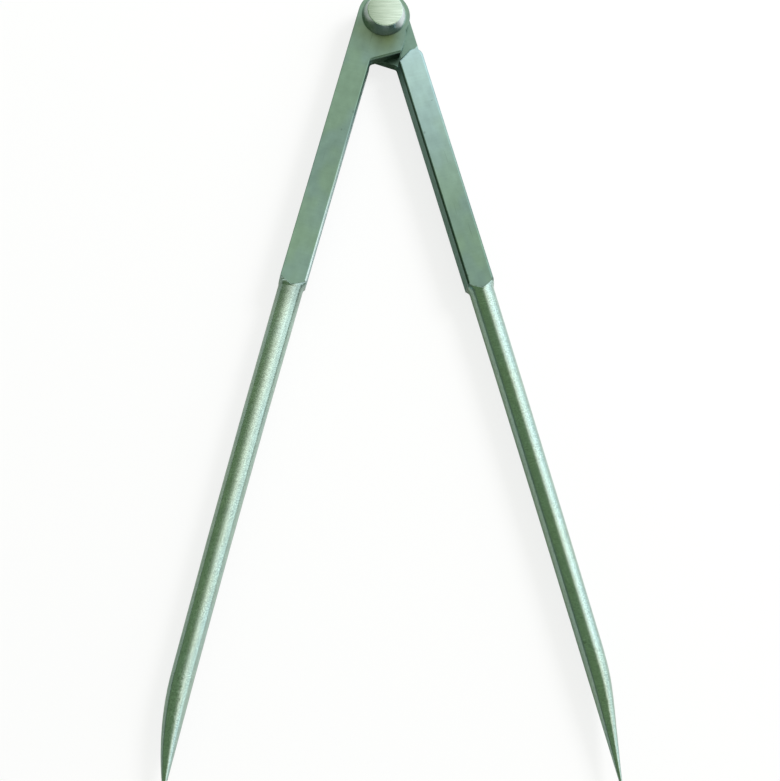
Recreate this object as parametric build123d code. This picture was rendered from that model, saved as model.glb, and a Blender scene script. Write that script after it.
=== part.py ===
from build123d import *
from math import cos, hypot, radians, sin, tan
import os

# Hinged divider with a firm riveted joint: two steel legs of one pattern, each a square bar with
# a half-thickness lap at the hinge and a round shank that ends in a point. Millimetres, +Z up.
# The divider lies on its back: hinge axis on Z, points towards -Y, origin at the middle of the
# rear washer's resting face.

# Overall sizes
leg_length = 250.0
opening_angle = 31.0

# Square bar between the hinge and the shank
bar_width = 8.2
bar_thickness = 8.0
flat_length = 92.4
inner_edge_chamfer = 0.45
edge_break = 0.2

# Half laps of the hinge
disc_radius = 8.2
wing_start_angle = 18.0
wing_bulge = 0.3
wing_bulge_distance = 6.8
mitre_distance = 16.1
mitre_angle = 33.0
mitre_gap = 0.12
shoulder_round = 2.6
lap_gap = 0.06
web_fillet = 1.0

# Run-out from the square bar to the round shank
neck_diameter = 7.75
neck_step = 0.3
neck_angle = 45.0
neck_hollow = 2.0

# Round shanks and their points. The points are ground by hand, the left one blunter and with a
# longer shoulder, and each shank bows in past its leg's inner side.
shank_taper = 0.0065
tip_diameter = 0.4
left_point_angle = 21.0
left_point_blend = 17.0
left_point_inset = 1.7
right_point_angle = 11.3
right_point_blend = 8.0
right_point_inset = 0.5
taper_sections = 4
point_sections = 8

# Rivet through the laps, its front head and the washer at the rear
rivet_diameter = 5.6
head_base_diameter = 14.1
head_face_diameter = 11.1
head_height = 4.2
head_edge_round = 0.25
head_foot_chamfer = 0.2
peen_diameter = 8.0
peen_depth = 1.2
washer_diameter = 13.4
washer_face_diameter = 12.2
washer_height = 2.0
fixed_clearance = 0.02
running_clearance = 0.05

# Places that follow from the sizes above
bar_half = bar_thickness / 2
rear_face = washer_height + lap_gap
front_face = rear_face + bar_thickness
mitre_slope = tan(radians(mitre_angle))
neck_radius = neck_diameter / 2
corner_reach = hypot(bar_width / 2, bar_half) - edge_break
cone_foot = flat_length + (corner_reach - neck_radius) / tan(radians(neck_angle))
neck_end = cone_foot + neck_hollow
blank_end = neck_end + bar_width

# Two places nearer than this are the same one
same_place = 0.0001


class Shank:
    """Round shank of one leg, from the neck to its hand-ground point."""

    def __init__(self, point_angle, point_blend, point_inset):
        self.slope = tan(radians(point_angle))
        self.inset = point_inset
        self.virtual_tip = leg_length + tip_diameter / self.slope
        fall = self.slope * (self.virtual_tip - neck_end) - neck_diameter
        corner = neck_end + fall / (self.slope - shank_taper)
        self.blend = min(point_blend, leg_length - corner)
        self.point_start = corner - self.blend
        self.point_end = corner + self.blend

    def inner(self, distance):
        """Inner line of the shank, which bows in so that the points meet first."""
        share = (distance - neck_end) / (leg_length - neck_end)
        return -neck_step + share**2 * (neck_step + self.inset)

    def diameter(self, distance):
        """Slow taper of the shank, rounded over into the cone of the point."""
        if distance >= self.point_end:
            return self.slope * (self.virtual_tip - distance)
        past = max(0, distance - self.point_start)
        rounding = (self.slope - shank_taper) * past**2 / (4 * self.blend)
        return neck_diameter - shank_taper * (distance - neck_end) - rounding

    def section(self, distance):
        """Round section at a distance from the hinge centre."""
        diameter = self.diameter(distance)
        middle = self.inner(distance) - diameter / 2
        plane = Plane(origin=(middle, -distance, 0), x_dir=(1, 0, 0), z_dir=(0, -1, 0))
        return plane * Circle(diameter / 2)

    def sections(self, start, end, count):
        """Evenly spaced sections from one distance to another."""
        step = (end - start) / (count - 1)
        return [self.section(start + step * place) for place in range(count)]

    def solid(self):
        """Slow taper, and the point in one smooth form with its rounded shoulder."""
        taper = self.sections(neck_end, self.point_start, taper_sections)
        point = self.sections(self.point_start, leg_length, point_sections)
        return loft(taper, ruled=True) + loft(point)


def lap_outline():
    """Front half of a leg: the disc, the bar, and the wing with its bowed side and mitred foot."""
    leave = radians(wing_start_angle)
    side_start = (disc_radius * cos(leave), -disc_radius * sin(leave))
    side_end = (disc_radius, disc_radius * mitre_slope - mitre_distance)
    bulge = (disc_radius + wing_bulge, -wing_bulge_distance)
    straight = Polyline(
        side_start,
        (0, 0),
        (-bar_width, 0),
        (-bar_width, -blank_end),
        (0, -blank_end),
        (0, -mitre_distance),
        side_end,
    )
    blade = make_face(straight + ThreePointArc(side_end, bulge, side_start))
    outline = Circle(disc_radius) + blade
    web = outline.vertices().sort_by_distance((0, -mitre_distance))[0]
    return fillet(web, web_fillet)


def shoulder_outline():
    """Rear half of a leg: the bar up to the mitred shoulder that meets the other leg's wing."""
    shoulder = mitre_distance + mitre_gap / cos(radians(mitre_angle))
    inner_corner = (0, -shoulder)
    outer_corner = (-bar_width, bar_width * mitre_slope - shoulder)
    outline = Polygon(
        outer_corner,
        (-bar_width, -blank_end),
        (0, -blank_end),
        inner_corner,
        align=None,
    )
    for corner, radius in ((inner_corner, web_fillet + mitre_gap), (outer_corner, shoulder_round)):
        vertex = outline.vertices().sort_by_distance(corner)[0]
        outline = fillet(vertex, radius)
    return outline


def face_edges(blank):
    """Edges round the front and rear faces, apart from those of the blank's sawn end."""
    edges = [edge for edge in blank.edges() if abs(abs(edge.center().Z) - bar_half) < same_place]
    return [edge for edge in edges if edge.center().Y > same_place - blank_end]


def flat_blank():
    """Square bar with its half lap, its inner edges chamfered and the others just broken."""
    front = Pos(0, 0, lap_gap / 2) * extrude(lap_outline(), bar_half - lap_gap / 2)
    rear = Pos(0, 0, -bar_half) * extrude(shoulder_outline(), bar_half + lap_gap)
    blank = front + rear
    inner = [edge for edge in face_edges(blank) if abs(edge.center().X) < same_place]
    blank = chamfer([edge for edge in inner if edge.length > bar_width], inner_edge_chamfer)
    others = [edge for edge in face_edges(blank) if abs(edge.center().X + inner_edge_chamfer) > same_place]
    return chamfer(others, edge_break)


def run_out():
    """Turned form that the bar's end is cut to: a cone with a hollow foot on the shank."""
    reach = 2 * bar_width
    profile = Polygon(
        (0, 2 * disc_radius),
        (reach, 2 * disc_radius),
        (reach, (reach - neck_radius) / tan(radians(neck_angle)) - cone_foot),
        (neck_radius, -cone_foot),
        (neck_radius, -neck_end),
        (0, -neck_end),
        align=None,
    )
    foot = profile.vertices().sort_by_distance((neck_radius, -cone_foot))[0]
    turned = revolve(fillet(foot, neck_hollow), Axis.Y)
    return Pos(-neck_step - neck_radius, 0, 0) * turned


def leg(shank, hole_clearance):
    """One leg along -Y with its inner side towards +X and its lap in the upper half."""
    hole = Cylinder(rivet_diameter / 2 + hole_clearance, 2 * bar_thickness)
    return (flat_blank() & run_out()) + shank.solid() - hole


def left_leg():
    """Leg whose lap lies in front, fixed to the rivet."""
    shank = Shank(left_point_angle, left_point_blend, left_point_inset)
    placed = Pos(0, 0, rear_face + bar_half) * Rot(0, 0, -opening_angle / 2)
    return placed * leg(shank, fixed_clearance)


def right_leg():
    """The same leg turned over, its lap behind, free to turn on the rivet."""
    shank = Shank(right_point_angle, right_point_blend, right_point_inset)
    placed = Pos(0, 0, rear_face + bar_half) * Rot(0, 0, opening_angle / 2)
    return placed * Rot(0, 180, 0) * leg(shank, running_clearance)


def hinge_rivet():
    """Rivet with a conical front head, its rear end peened out into the washer."""
    base = head_base_diameter / 2
    face = head_face_diameter / 2
    shaft = rivet_diameter / 2
    peen = peen_diameter / 2
    foot = head_foot_chamfer
    top = front_face + head_height
    profile = Polygon(
        (0, 0),
        (peen, 0),
        (shaft, peen_depth),
        (shaft, front_face),
        (base - foot, front_face),
        (base, front_face + foot),
        (face, top),
        (0, top),
        align=None,
    )
    rim = profile.vertices().sort_by_distance((face, top))[0]
    return revolve(Plane.XZ * fillet(rim, head_edge_round), Axis.Z)


def rear_washer():
    """Conical washer that the divider rests on, countersunk for the peened rivet end."""
    bore = rivet_diameter / 2 + fixed_clearance
    sink = peen_diameter / 2 + fixed_clearance
    outer = washer_diameter / 2
    face = washer_face_diameter / 2
    profile = Polygon(
        (sink, 0),
        (face - edge_break, 0),
        (face, edge_break),
        (outer, washer_height),
        (bore, washer_height),
        (bore, peen_depth + fixed_clearance),
        align=None,
    )
    return revolve(Plane.XZ * profile, Axis.Z)


def main():
    os.makedirs("parts", exist_ok=True)
    pieces = {
        "left_leg": left_leg(),
        "right_leg": right_leg(),
        "hinge_rivet": hinge_rivet(),
        "rear_washer": rear_washer(),
    }
    for name, piece in pieces.items():
        piece.label = name
        export_step(piece, f"parts/{name}.step")


main()
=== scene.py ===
"""Hinged divider of ground steel: two legs on a firm riveted hinge, lying on a pale floor."""

from math import cos, radians, sin, tau

import bpy
from mathutils import Matrix, Vector


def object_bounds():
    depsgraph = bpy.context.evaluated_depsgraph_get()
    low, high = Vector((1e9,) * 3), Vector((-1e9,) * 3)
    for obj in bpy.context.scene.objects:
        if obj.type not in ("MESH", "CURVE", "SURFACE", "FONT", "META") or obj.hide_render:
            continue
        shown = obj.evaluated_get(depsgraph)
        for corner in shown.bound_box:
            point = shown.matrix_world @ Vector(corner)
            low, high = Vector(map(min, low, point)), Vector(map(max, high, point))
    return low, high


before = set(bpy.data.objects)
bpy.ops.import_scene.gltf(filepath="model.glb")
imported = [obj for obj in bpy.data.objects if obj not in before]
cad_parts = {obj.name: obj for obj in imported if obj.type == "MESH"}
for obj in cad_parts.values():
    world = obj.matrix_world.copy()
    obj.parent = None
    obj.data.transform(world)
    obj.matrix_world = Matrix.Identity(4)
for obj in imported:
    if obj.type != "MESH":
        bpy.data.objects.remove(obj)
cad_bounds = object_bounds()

bl_info = {
    "name": "Hinged divider",
    "version": (1, 0, 0),
    "blender": (4, 5, 0),
    "location": "3D View > Sidebar > Divider",
    "description": "Finishes a riveted steel divider and sets it on a pale studio floor",
    "category": "Object",
}

MM = 0.001

# Photograph's long side and the focal length that its edges give, in pixels, and the sensor's width in mm
IMAGE_LONG_SIDE = 781
FOCAL_LENGTH = 2088.0
SENSOR_WIDTH = 36

# Heights of the legs' front faces and of the rivet's face
FRONT_FACE = max(vertex.co.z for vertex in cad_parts["left_leg"].data.vertices)
RIVET_FACE = cad_bounds[1][2]

# For each leg, the side of the hinge that it lies on, and how far its hand-ground shank leans in shade
LEGS = {"left_leg": (-1, 0.035), "right_leg": (1, 0.065)}

# Noises of the steel: cells for each metre along three axes, detail, and a shift that sets them apart
CUTS = ((90, 1300, 300), 4.0, 0.0)
SPECKS = ((2600, 4200, 2600), 2.0, 3.0)
MOTTLE = ((420, 260, 420), 3.0, 5.0)
CLOUD = ((90, 60, 90), 2.0, 7.0)
SCRATCHES = ((2400, 70, 300), 2.0, 11.0)
NICKS = ((520, 520, 520), 1.0, 13.0)
RIVET_CUTS = ((180, 2000, 400), 4.0, 0.0)
NOISE_MIDDLE = 0.5

# Pairs below are where a soft border of the finish starts and ends. Depths are below the front face,
# starts and ends along a leg are distances from the hinge, reaches are from the hinge in any direction,
# and across a leg the inner side is at zero.
FACE_BORDER = (0.01 * MM, 0.08 * MM)
HINGE_REACH = (17 * MM, 22 * MM)

# Square bars: patches, right bar's painted sheen, painted shade at the hinge, left bar's painted bright end
PATCHES = (-0.1, 0.1)
PAINTED_SHEEN_END = (-20 * MM, 80 * MM)
HINGE_SHADE_REACH = (6 * MM, 18 * MM)
HINGE_SHADE_START = (-1 * MM, 8 * MM)
HINGE_SHADE_SIDE = (-9.5 * MM, -3.5 * MM)
HINGE_SHADE_THINNER_SIDE = (-4 * MM, 3 * MM)
HINGE_SHADE_STRENGTH = 0.75
HINGE_SHADE_THINNING = 0.22
PAINTED_LIGHT_START = (50 * MM, 95 * MM)
PAINTED_LIGHT_GAIN = 0.22

# Painted shade on the rear lap up to the mitre's line, and in the pit between the legs at the hinge
LAP_DEPTH = (1.06 * MM, 3.06 * MM)
MITRE_LINE = (-0.1 * MM, 0.1 * MM)
LAP_SHADE_STRENGTH = 0.9
PIT_DEPTH = (0.11 * MM, 0.36 * MM)
PIT_START = (7 * MM, 11 * MM)
PIT_WIDTH = 2 * MM
PIT_STRENGTH = 0.6

# Inner side of a bar, and the chamfer above it with its painted shade and the left leg's painted highlight
SIDE_START = (15.5 * MM, 16.5 * MM)
SIDE_DEPTH = (0.51 * MM, 0.56 * MM)
SIDE_EDGE = (0.02 * MM, 0.06 * MM)
CHAMFER_DEPTH = (0.46 * MM, 0.51 * MM)
CHAMFER_START = (-0.2 * MM, -0.1 * MM)
CHAMFER_END = (0.4 * MM, 0.5 * MM)
CHAMFER_HIGHLIGHT_START = (25 * MM, 90 * MM)
CHAMFER_SHADE_END = (20 * MM, 50 * MM)
CHAMFER_SHADE_STRENGTH = 0.8

# How strongly each noise shows in the tint, the relief and the roughness
BAR_MOTTLE = 0.35
BAR_CUTS = 0.15
SHANK_SPECKS = 1.4
SHANK_LESS_MOTTLE = 0.1
SCRATCH_BORDER = (0.2, 0.26)
SCRATCH_STRENGTH = 0.2
NICK_BORDER = (0.25, 0.29)
NICK_STRENGTH = 0.25
RELIEF_CUTS = 0.6
RELIEF_SPECKS = 0.25
BAR_RELIEF = 0.5
SHANK_MORE_RELIEF = 0.7
ROUGH_CUTS = 0.06
ROUGH_SPECKS = 0.08

# Left shank is darker where it leaves the neck
NECK_SHADE = 0.76
NECK_SHADE_END = (94 * MM, 106 * MM)

# Rivet: its brushed lines, the depths of its flank and of the head's foot below its face, and the parts of
# the flank with painted shade, in front towards the points and on the left, measured from its middle
RIVET_LINES = (-0.2, 0.2)
FLANK_DEPTH = (0.16 * MM, 0.36 * MM)
HEAD_FOOT = (4.26 * MM, 5.26 * MM)
FRONT_START = (3 * MM, 5 * MM)
FRONT_SIDE = (-5 * MM, -2 * MM)
LEFT_END = (1 * MM, 3 * MM)
LEFT_SIDE = (-5.5 * MM, -4 * MM)
LEFT_SHADE_STRENGTH = 0.45

# Floor, as the camera sees it, where its colour and its glow together are white, and as the steel does
FLOOR_WIDTH = 6.0
FLOOR_COLOUR = (0.20, 0.195, 0.20, 1)
FLOOR_GLOW = 0.8
MIRRORED_FLOOR = (0.27, 0.27, 0.27, 1)
MIRRORED_SHEEN = (0.48, 0.48, 0.48, 1)
SHEEN_ROUGHNESS = 0.45
WHITE = (1, 1, 1, 1)

# Colour of the sky by its angle from straight up, positive towards the pale screen
SKY = (
    (-95, (0.16, 0.19, 0.17)),
    (-78, (0.05, 0.07, 0.06)),
    (-60, (0.107, 0.155, 0.083)),
    (1, (0.107, 0.155, 0.083)),
    (8, (0.20, 0.23, 0.16)),
    (13, (0.46, 0.48, 0.39)),
    (19, (0.84, 0.82, 0.74)),
    (33, (0.72, 0.76, 0.75)),
    (50, (0.70, 0.77, 0.78)),
    (92, (0.72, 0.80, 0.83)),
)

# Pale ends of the room: where they start along -Y and +Y, and where the near one ends upwards
NEAR_END = (0.4, 0.75)
NEAR_END_TOP = (0.36, 0.56)
FAR_END = (0.7, 0.9)
END_COLOUR = (0.68, 0.70, 0.66, 1)

# Lamps: azimuth from +X towards +Y, elevation, distance and size in metres, power in watts, and whether
# the steel mirrors them
LAMPS = {
    "right_lamp": (radians(38), radians(42), 1.2, (0.9, 0.7), 0.75, True),
    "floor_lamp": (radians(40), radians(42), 1.2, (0.4, 0.4), 9.0, False),
}
LAMP_AIM = (0, -120 * MM, 0)

# Nearest and farthest distance that the camera sees
CLIP_START = 0.01
CLIP_END = 20.0


class Shade:
    """One socket of a node tree. Sums and products of sockets add Math nodes."""

    def __init__(self, tree, socket=None):
        self.tree = tree
        self.socket = socket

    def node(self, kind, settings=None, inputs=None, output=0):
        """Adds a node, makes its settings, fills its sockets with values or links, and wraps one output."""
        made = self.tree.nodes.new(kind)
        for name, value in (settings or {}).items():
            if name == "stops":
                self.ramp_stops(made.color_ramp, value)
            else:
                setattr(made, name, value)
        for name, value in (inputs or {}).items():
            if isinstance(value, Shade):
                self.tree.links.new(value.socket, made.inputs[name])
            else:
                made.inputs[name].default_value = value
        return Shade(self.tree, made.outputs[output]) if made.outputs else None

    def ramp_stops(self, ramp, stops):
        """Gives a colour ramp its stops, each a place and a colour."""
        while len(ramp.elements) < len(stops):
            ramp.elements.new(1)
        for element, (place, colour) in zip(ramp.elements, stops):
            element.position = place
            element.color = colour

    def maths(self, operation, *values):
        """A Math node on sockets and numbers."""
        return self.node("ShaderNodeMath", {"operation": operation}, dict(enumerate(values)))

    def __add__(self, other):
        return self.maths("ADD", self, other)

    def __radd__(self, other):
        return self.maths("ADD", other, self)

    def __sub__(self, other):
        return self.maths("SUBTRACT", self, other)

    def __rsub__(self, other):
        return self.maths("SUBTRACT", other, self)

    def __mul__(self, other):
        return self.maths("MULTIPLY", self, other)

    def __rmul__(self, other):
        return self.maths("MULTIPLY", other, self)

    def __truediv__(self, other):
        return self.maths("DIVIDE", self, other)

    def __rtruediv__(self, other):
        return self.maths("DIVIDE", other, self)

    def at_least(self, low):
        """This socket, or the low value where it is below that."""
        return self.maths("MAXIMUM", self, low)

    def at_most(self, high):
        """This socket, or the high value where it is above that."""
        return self.maths("MINIMUM", self, high)

    def between(self, low, high):
        """0 below the low value, 1 above the high one, and smooth from one to the other."""
        settings = {"interpolation_type": "SMOOTHSTEP"}
        inputs = {"Value": self, "From Min": low, "From Max": high}
        return self.node("ShaderNodeMapRange", settings, inputs)

    def along(self, axis):
        """One of the three numbers of this place or direction."""
        return self.node("ShaderNodeSeparateXYZ", None, {"Vector": self}, axis)

    def mix(self, first, second):
        """A colour that goes from the first to the second as this socket goes from 0 to 1."""
        settings = {"data_type": "RGBA", "clamp_factor": True}
        inputs = {0: self, 6: first, 7: second}
        return self.node("ShaderNodeMix", settings, inputs, output=2)

    def tinted(self, share):
        """This colour, darker or lighter all over."""
        return self.node("ShaderNodeVectorMath", {"operation": "SCALE"}, {0: self, "Scale": share})


def new_material(name):
    """An empty material, and the wrapper that fills its node tree."""
    material = bpy.data.materials.new(name)
    material.use_nodes = True
    material.node_tree.nodes.clear()
    return material, Shade(material.node_tree)


def close_material(graph, tint, rough, relief):
    """Ends a material in a metal surface with this tint, roughness and relief."""
    bump = graph.node("ShaderNodeBump", None, {"Height": relief, "Strength": 1.0, "Distance": 1.0})
    inputs = {"Base Color": tint, "Metallic": 1.0, "Roughness": rough, "Normal": bump}
    surface = graph.node("ShaderNodeBsdfPrincipled", None, inputs)
    graph.node("ShaderNodeOutputMaterial", None, {"Surface": surface})


def steel_noise(graph, place, kind):
    """One of the steel's noises, around zero."""
    scale, detail, shift = kind
    inputs = {"Vector": place, "Scale": scale, "Location": (shift, shift, shift)}
    cells = graph.node("ShaderNodeMapping", None, inputs)
    noise = graph.node("ShaderNodeTexNoise", None, {"Vector": cells, "Scale": 1.0, "Detail": detail})
    return noise - NOISE_MIDDLE


class LegPlace:
    """Sockets that tell where a point lies on a leg, in the leg's own directions."""

    def __init__(self, graph, side, finish):
        self.graph = graph
        self.side = side
        place = graph.node("ShaderNodeTexCoord", None, None, "Object")
        inputs = {"Vector": place, "Rotation": (0, 0, -side * finish.opening / 2)}
        self.own = graph.node("ShaderNodeMapping", {"vector_type": "POINT"}, inputs)
        self.across = self.own.along("X") * side
        self.distance = self.own.along("Y") * -1.0
        self.depth = FRONT_FACE - self.own.along("Z")
        flat = graph.node("ShaderNodeVectorMath", {"operation": "MULTIPLY"}, {0: place, 1: (1, 1, 0)})
        self.reach = graph.node("ShaderNodeVectorMath", {"operation": "LENGTH"}, {0: flat}, "Value")
        self.below_face = self.depth.between(*FACE_BORDER)
        self.shank = self.distance.between(finish.bar_end, finish.shank_start) * self.below_face
        self.near_hinge = 1.0 - self.reach.between(*HINGE_REACH)
        self.cuts = self.noise(CUTS)
        self.specks = self.noise(SPECKS)
        self.mottle = self.noise(MOTTLE)
        self.cloud = self.noise(CLOUD)

    def noise(self, kind):
        return steel_noise(self.graph, self.own, kind)


def bar_tint(place, finish):
    """Square bar: patches; on the right bar a painted sheen at its hinge end; on the left bar painted shade
    there and painted light at its far end.
    """
    tint = place.cloud.between(*PATCHES).mix(tuple(finish.bar), tuple(finish.bar_patch))
    if place.side > 0:
        # Painted sheen: the right bar is lighter and cooler towards the hinge, in place of a reflection
        painted_sheen = 1.0 - place.distance.between(*PAINTED_SHEEN_END)
        return painted_sheen.mix(tint, tuple(finish.bar_painted_sheen))
    # Painted shade on the left bar round the rivet, where the rivet shades it
    painted_hinge_shade = HINGE_SHADE_STRENGTH - place.across.between(*HINGE_SHADE_THINNER_SIDE) * HINGE_SHADE_THINNING
    painted_hinge_shade = painted_hinge_shade * (1.0 - place.reach.between(*HINGE_SHADE_REACH))
    painted_hinge_shade = painted_hinge_shade * place.distance.between(*HINGE_SHADE_START) * place.across.between(*HINGE_SHADE_SIDE)
    tint = painted_hinge_shade.mix(tint, tuple(finish.painted_hinge_shade))
    # Painted light: the left bar grows brighter towards its far end, where its light falls off
    return tint.tinted(1.0 + place.distance.between(*PAINTED_LIGHT_START) * PAINTED_LIGHT_GAIN)


def painted_recess_shade(tint, place, finish):
    """Painted shade on the recessed rear lap up to the shoulder's mitre, and darker painted shade in the
    pit at the hinge.
    """
    before_mitre = finish.mitre - place.across * finish.mitre_slope - place.distance
    # Painted shade on the recessed rear lap, up to the mitre
    lap_shade = place.depth.between(*LAP_DEPTH) * place.near_hinge * before_mitre.between(*MITRE_LINE)
    tint = (lap_shade * LAP_SHADE_STRENGTH).mix(tint, tuple(finish.lap_shade))
    # Painted shade in the pit between the legs at the hinge
    inner = place.across.maths("LESS_THAN", place.across, PIT_WIDTH)
    pit = place.depth.between(*PIT_DEPTH) * place.near_hinge * inner
    pit = pit * place.distance.between(*PIT_START)
    return (pit * PIT_STRENGTH).mix(tint, tuple(finish.pit_and_edge_shade))


def inner_side_tint(tint, place, finish):
    """Inner side of a bar and the chamfer above it: painted shade on the chamfer, all along the right bar
    and near the hinge on the left one, and a painted highlight further along the left one.
    """
    beyond = place.distance.between(*SIDE_START)
    wall = place.depth.between(*SIDE_DEPTH) * (1.0 - place.across.between(*SIDE_EDGE))
    tint = (wall * beyond * (1.0 - place.shank)).mix(tint, tuple(finish.side))
    edge = (1.0 - place.depth.between(*CHAMFER_DEPTH)) * (1.0 - place.across.between(*CHAMFER_END))
    edge = edge * place.across.between(*CHAMFER_START) * beyond
    if place.side < 0:
        # Painted highlight along the left bar's inner chamfer, where the chamfer catches the light
        tint = (edge * place.distance.between(*CHAMFER_HIGHLIGHT_START)).mix(tint, tuple(finish.edge))
        edge = edge * (1.0 - place.distance.between(*CHAMFER_SHADE_END))
    # Painted shade along the chamfer: all along the right bar, and near the hinge on the left one
    return (edge * CHAMFER_SHADE_STRENGTH).mix(tint, tuple(finish.pit_and_edge_shade))


def shank_tint(place, finish):
    """Round shank, in patches, and on the left leg darker at the neck."""
    tint = place.cloud.between(*PATCHES).mix(tuple(finish.shank), tuple(finish.shank_patch))
    if place.side > 0:
        return tint
    return tint.tinted(NECK_SHADE + place.distance.between(*NECK_SHADE_END) * (1.0 - NECK_SHADE))


def worn(tint, place):
    """Grain of the ground steel, fine scratches along the bars, and a few dark nicks."""
    grain = place.mottle * BAR_MOTTLE + place.cuts * BAR_CUTS
    grain = grain + place.shank * (place.specks * SHANK_SPECKS - place.mottle * SHANK_LESS_MOTTLE)
    scratches = place.noise(SCRATCHES).between(*SCRATCH_BORDER) * (1.0 - place.shank)
    nicks = place.noise(NICKS).between(*NICK_BORDER)
    return tint.tinted(1.0 + grain - scratches * SCRATCH_STRENGTH - nicks * NICK_STRENGTH)


def run_out_relief(place, finish):
    """Slope that evens out the shade of the cone and the hollow between a bar's end and its shank."""
    past = place.distance - finish.bar_end
    cone = past.at_least(0.0).at_most(finish.cone_length)
    to_go = 1.0 - (past - finish.cone_length) / finish.hollow_length
    to_go = to_go.at_least(0.0).at_most(1.0)
    hollow = (1.0 - to_go * to_go * to_go) * (finish.hollow_length / 3)
    return (cone + hollow) * finish.neck_rise * place.below_face


def leg_relief(place, lift, finish):
    """Height of the grinding marks, the shank's lean in shade, and the run-out's slope."""
    marks = (place.cuts * RELIEF_CUTS + place.specks * RELIEF_SPECKS) * finish.cut_depth
    marks = marks * (BAR_RELIEF + place.shank * SHANK_MORE_RELIEF)
    return marks + place.across * place.shank * lift + run_out_relief(place, finish)


def leg_steel(name, side, lift, finish):
    """Ground steel of a leg: a dull bar, a brighter shank, and grinding lines across both."""
    material, graph = new_material(name)
    place = LegPlace(graph, side, finish)
    bar = inner_side_tint(painted_recess_shade(bar_tint(place, finish), place, finish), place, finish)
    tint = worn(place.shank.mix(bar, shank_tint(place, finish)), place)
    rough = finish.bar_roughness + place.shank * (finish.shank_roughness - finish.bar_roughness)
    rough = rough + place.cuts * ROUGH_CUTS + place.specks * ROUGH_SPECKS
    close_material(graph, tint, rough, leg_relief(place, lift, finish))
    return material


def flank_tint(place, depth, finish):
    """Flank of the rivet's head, with painted shade in front and on the left, and the sides of the washer.
    """
    across = place.along("X")
    forward = place.along("Y") * -1.0
    front = forward.between(*FRONT_START) * across.between(*FRONT_SIDE)
    left = (1.0 - forward.between(*LEFT_END)) * (1.0 - across.between(*LEFT_SIDE))
    # Painted shade on the front and the left of the rivet's head, kept off the washer
    shaded = (front + left * LEFT_SHADE_STRENGTH) * (1.0 - depth.between(*HEAD_FOOT))
    return shaded.mix(tuple(finish.flank), tuple(finish.flank_painted_shade))


def rivet_steel(name, finish):
    """Bright steel of the rivet and the washer, with fine brushed lines on slightly domed faces."""
    material, graph = new_material(name)
    place = graph.node("ShaderNodeTexCoord", None, None, "Object")
    cuts = steel_noise(graph, place, RIVET_CUTS)
    face = cuts.between(*RIVET_LINES).mix(tuple(finish.rivet_shade), tuple(finish.rivet))
    depth = RIVET_FACE - place.along("Z")
    tint = depth.between(*FLANK_DEPTH).mix(face, flank_tint(place, depth, finish))
    across = place.along("X")
    inputs = {0: place, 1: finish.tilt}
    tilt = graph.node("ShaderNodeVectorMath", {"operation": "DOT_PRODUCT"}, inputs, "Value")
    relief = cuts * finish.cut_depth * RELIEF_CUTS - across * across * finish.dome + tilt
    close_material(graph, tint, finish.rivet_roughness, relief)
    return material


def assign(node, material):
    """Gives a node of the frame its material."""
    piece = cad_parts[node]
    for slot in piece.material_slots:
        slot.material = material


def tint_property(name, description, colour):
    """Property for a colour of the steel."""
    return bpy.props.FloatVectorProperty(
        name=name, description=description, subtype="COLOR", size=4, min=0, max=1, default=(*colour, 1))


def share_property(name, description, share):
    """Property for a number from 0 to 1."""
    return bpy.props.FloatProperty(name=name, description=description, default=share, min=0, max=1)


def length_property(name, description, length):
    """Property for a length."""
    return bpy.props.FloatProperty(name=name, description=description, default=length, unit="LENGTH")


def angle_property(name, description, degrees):
    """Property for an angle."""
    return bpy.props.FloatProperty(
        name=name, description=description, default=radians(degrees), subtype="ANGLE")


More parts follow.
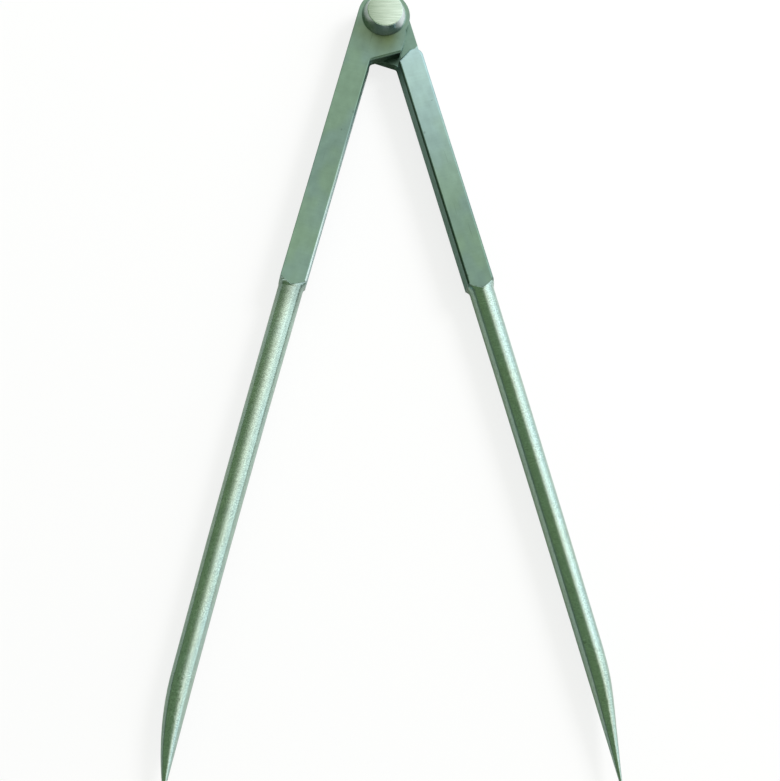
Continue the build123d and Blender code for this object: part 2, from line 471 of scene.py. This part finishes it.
class DividerFinish(bpy.types.PropertyGroup):
    """Colours, roughness and grinding marks of the steel."""

    bar: tint_property("Bar", "Tint of the square bars", (0.228, 0.345, 0.305))
    bar_patch: tint_property("Bar, patches", "Warmer tint of the bars' patches", (0.238, 0.362, 0.275))
    # Painted sheen on the right bar near the hinge, in place of a reflection
    bar_painted_sheen: tint_property("Bar, clean", "Tint of the right bar near the hinge", (0.59, 0.81, 0.86))
    # Painted shade round the hinge on the left bar
    painted_hinge_shade: tint_property("Film", "Tint of the dull film round the hinge", (0.118, 0.145, 0.02))
    # Painted shade on the recessed rear lap
    lap_shade: tint_property("Rear lap", "Tint of the rear lap", (0.195, 0.31, 0.245))
    side: tint_property("Inner side", "Tint of the bars' inner sides", (0.295, 0.475, 0.475))
    # Painted shade for the bars' inner chamfers and the pit at the hinge
    pit_and_edge_shade: tint_property("Grime", "Tint of the dirt on the bars' inner edges", (0.03, 0.06, 0.045))
    # Edge: painted highlight along the left bar's inner chamfer, where it catches the light
    edge: tint_property("Edge", "Tint of the worn inner edge of the left bar", (0.84, 0.95, 0.93))
    shank: tint_property("Shank", "Tint of the round shanks", (0.53, 0.68, 0.63))
    shank_patch: tint_property("Shank, patches", "Warmer tint of the shanks' patches", (0.54, 0.68, 0.60))
    rivet: tint_property("Rivet", "Tint of the rivet's face", (0.74, 0.88, 0.80))
    rivet_shade: tint_property("Rivet, lines", "Tint of the brushed lines on the face", (0.60, 0.74, 0.65))
    flank: tint_property("Rivet, flank", "Tint of the rivet's flank and of the washer", (0.90, 0.96, 1.0))
    # Painted shade for the front and the left of the rivet's flank
    flank_painted_shade: tint_property("Rivet, dull flank", "Tint of the flank in front", (0.34, 0.41, 0.43))
    bar_roughness: share_property("Bar roughness", "Roughness of the square bars", 0.36)
    shank_roughness: share_property("Shank roughness", "Roughness of the round shanks", 0.19)
    rivet_roughness: share_property("Rivet roughness", "Roughness of the rivet and washer", 0.24)
    dome: bpy.props.FloatProperty(
        name="Dome", description="Curvature of the rivet's face, per metre", default=11.0, min=0)
    tilt: bpy.props.FloatVectorProperty(
        name="Tilt", description="Slope of the rivet's face", default=(0.085, 0.03, 0))
    opening: angle_property("Opening", "Angle between the legs", 31)
    bar_end: length_property("Bar end", "From the hinge to the end of the bar's flats", 92.1 * MM)
    cone_length: length_property("Cone length", "Length of the run-out's cone", 1.36 * MM)
    hollow_length: length_property("Hollow length", "Length of the run-out's hollow", 1.4 * MM)
    neck_rise: bpy.props.FloatProperty(
        name="Neck rise", description="Slope that evens out the shade of the run-out", default=1.41)
    mitre: length_property("Mitre", "From the hinge to the shoulder at the inner side", 16.24 * MM)
    mitre_slope: bpy.props.FloatProperty(
        name="Mitre slope", description="Slope of the shoulder's mitre", default=0.65)
    shank_start: length_property("Shank start", "From the hinge to the steel of the shank", 93.2 * MM)
    cut_depth: length_property("Cut depth", "Depth of the grinding lines", 0.012 * MM)


class DividerStage(bpy.types.PropertyGroup):
    """Camera and screen."""

    azimuth: angle_property("Azimuth", "Camera's angle round the divider from the points' side", -17.762)
    elevation: angle_property("Elevation", "Camera's angle above the floor", 73.54)
    roll: angle_property("Roll", "Camera's turn about its own line of sight", 17.72)
    distance: length_property("Distance", "From the camera to the point it looks at", 629.66 * MM)
    aim: bpy.props.FloatVectorProperty(
        name="Aim", description="Point that the camera looks at", subtype="TRANSLATION",
        default=(0.655 * MM, -121.88 * MM, 6.06 * MM))
    lens: bpy.props.FloatProperty(
        name="Lens", description="Focal length in millimetres",
        default=FOCAL_LENGTH * SENSOR_WIDTH / IMAGE_LONG_SIDE)
    screen_azimuth: angle_property("Screen azimuth", "Direction of the pale screen, from +X towards +Y", 54)
    screen_light: bpy.props.FloatProperty(
        name="Screen light", description="Strength of the light from the sky", default=1.4, min=0)


class OBJECT_OT_divider_legs(bpy.types.Operator):
    """Finish both legs in ground steel"""

    bl_idname = "object.divider_legs"
    bl_label = "Legs"

    def execute(self, context):
        finish = context.scene.divider_finish
        for node, (side, lift) in LEGS.items():
            assign(node, leg_steel("ground_steel_" + node, side, lift, finish))
        return {"FINISHED"}


class OBJECT_OT_divider_hinge(bpy.types.Operator):
    """Finish the rivet and its washer"""

    bl_idname = "object.divider_hinge"
    bl_label = "Hinge rivet and washer"

    def execute(self, context):
        material = rivet_steel("brushed_rivet_steel", context.scene.divider_finish)
        for node in ("hinge_rivet", "rear_washer"):
            assign(node, material)
        return {"FINISHED"}


class OBJECT_OT_divider_stage(bpy.types.Operator):
    """Add the floor, the lamps, the sky and the camera"""

    bl_idname = "object.divider_stage"
    bl_label = "Stage"

    def execute(self, context):
        add_floor()
        add_sky(context.scene, context.scene.divider_stage)
        for name, lamp in LAMPS.items():
            add_lamp(name, *lamp)
        add_camera(context.scene, context.scene.divider_stage)
        context.scene.view_settings.view_transform = "Standard"
        return {"FINISHED"}


def floor_material():
    """Seen straight, the floor is lit up to white, and in the steel it is duller, with a sheen."""
    material, graph = new_material("pale_floor")
    camera = graph.node("ShaderNodeLightPath", None, None, "Is Camera Ray")
    seen = graph.node("ShaderNodeBsdfDiffuse", None, {"Color": FLOOR_COLOUR})
    glow = graph.node("ShaderNodeEmission", None, {"Color": WHITE, "Strength": FLOOR_GLOW})
    seen = graph.node("ShaderNodeAddShader", None, {0: seen, 1: glow})
    shaded = graph.node("ShaderNodeBsdfDiffuse", None, {"Color": MIRRORED_FLOOR})
    inputs = {"Color": MIRRORED_SHEEN, "Roughness": SHEEN_ROUGHNESS}
    sheen = graph.node("ShaderNodeBsdfGlossy", None, inputs)
    mirrored = graph.node("ShaderNodeAddShader", None, {0: shaded, 1: sheen})
    surface = graph.node("ShaderNodeMixShader", None, {0: camera, 1: mirrored, 2: seen})
    graph.node("ShaderNodeOutputMaterial", None, {"Surface": surface})
    return material


def add_floor():
    """Plain pale floor under the divider."""
    bpy.ops.object.select_all(action="DESELECT")
    bpy.ops.mesh.primitive_plane_add(size=FLOOR_WIDTH, location=(0, 0, 0))
    floor = bpy.context.active_object
    floor.name = "floor"
    floor.data.materials.append(floor_material())


def add_sky(scene, stage):
    """Studio round the divider: a pale screen on one side, the dim room on the other, and its pale ends."""
    world = bpy.data.worlds.new("studio")
    world.use_nodes = True
    world.node_tree.nodes.clear()
    scene.world = world
    graph = Shade(world.node_tree)
    way = graph.node("ShaderNodeTexCoord", None, None, "Generated")
    inputs = {"Vector": way, "Rotation": (0, 0, -stage.screen_azimuth)}
    turned = graph.node("ShaderNodeMapping", None, inputs)
    height = turned.along("Z")
    lean = height.maths("ARCTAN2", turned.along("X"), height)
    stops = [(radians(angle) / tau + 0.5, (*colour, 1)) for angle, colour in SKY]
    tone = graph.node("ShaderNodeValToRGB", {"stops": stops}, {"Fac": lean / tau + 0.5})
    along = way.along("Y")
    near_end = (along * -1.0).between(*NEAR_END) * (1.0 - height.between(*NEAR_END_TOP))
    tone = (near_end + along.between(*FAR_END)).mix(tone, END_COLOUR)
    camera = graph.node("ShaderNodeLightPath", None, None, "Is Camera Ray")
    seen = graph.node("ShaderNodeBackground", None, {"Color": WHITE, "Strength": 1.0})
    light = graph.node("ShaderNodeBackground", None, {"Color": tone, "Strength": stage.screen_light})
    surface = graph.node("ShaderNodeMixShader", None, {0: camera, 1: light, 2: seen})
    graph.node("ShaderNodeOutputWorld", None, {"Surface": surface})


def add_lamp(name, azimuth, elevation, distance, size, power, mirrored):
    """Soft lamp that faces the middle of the divider."""
    way = Vector((cos(azimuth) * cos(elevation), sin(azimuth) * cos(elevation), sin(elevation)))
    bpy.ops.object.light_add(type="AREA", location=Vector(LAMP_AIM) + way * distance)
    lamp = bpy.context.active_object
    lamp.name = name
    lamp.rotation_euler = way.to_track_quat("Z", "Y").to_euler()
    lamp.data.shape = "RECTANGLE"
    lamp.data.size, lamp.data.size_y = size
    lamp.data.energy = power
    lamp.visible_glossy = mirrored


def add_camera(scene, stage):
    """Camera at the photograph's angle."""
    level = cos(stage.elevation)
    across = Vector((cos(stage.azimuth), sin(stage.azimuth), 0))
    back = Vector((sin(stage.azimuth) * level, -cos(stage.azimuth) * level, sin(stage.elevation)))
    up = back.cross(across)
    right = cos(stage.roll) * across + sin(stage.roll) * up
    upright = cos(stage.roll) * up - sin(stage.roll) * across
    turn = Matrix((right, upright, back)).transposed().to_4x4()
    bpy.ops.object.camera_add()
    camera = bpy.context.active_object
    camera.matrix_world = Matrix.Translation(Vector(stage.aim) + back * stage.distance) @ turn
    camera.data.lens = stage.lens
    camera.data.sensor_width = SENSOR_WIDTH
    camera.data.clip_start = CLIP_START
    camera.data.clip_end = CLIP_END
    scene.camera = camera


class VIEW3D_PT_divider(bpy.types.Panel):
    """Lists the divider's steps"""

    bl_idname = "VIEW3D_PT_divider"
    bl_label = "Hinged divider"
    bl_space_type = "VIEW_3D"
    bl_region_type = "UI"
    bl_category = "Divider"

    def draw(self, context):
        for operator in (OBJECT_OT_divider_legs, OBJECT_OT_divider_hinge, OBJECT_OT_divider_stage):
            self.layout.operator(operator.bl_idname)


CLASSES = (
    DividerFinish,
    DividerStage,
    OBJECT_OT_divider_legs,
    OBJECT_OT_divider_hinge,
    OBJECT_OT_divider_stage,
    VIEW3D_PT_divider,
)


def register():
    for item in CLASSES:
        bpy.utils.register_class(item)
    bpy.types.Scene.divider_finish = bpy.props.PointerProperty(type=DividerFinish)
    bpy.types.Scene.divider_stage = bpy.props.PointerProperty(type=DividerStage)


def unregister():
    del bpy.types.Scene.divider_stage
    del bpy.types.Scene.divider_finish
    for item in reversed(CLASSES):
        bpy.utils.unregister_class(item)


def main():
    register()
    bpy.ops.object.divider_legs()
    bpy.ops.object.divider_hinge()
    bpy.ops.object.divider_stage()


if __name__ == "__main__":
    main()
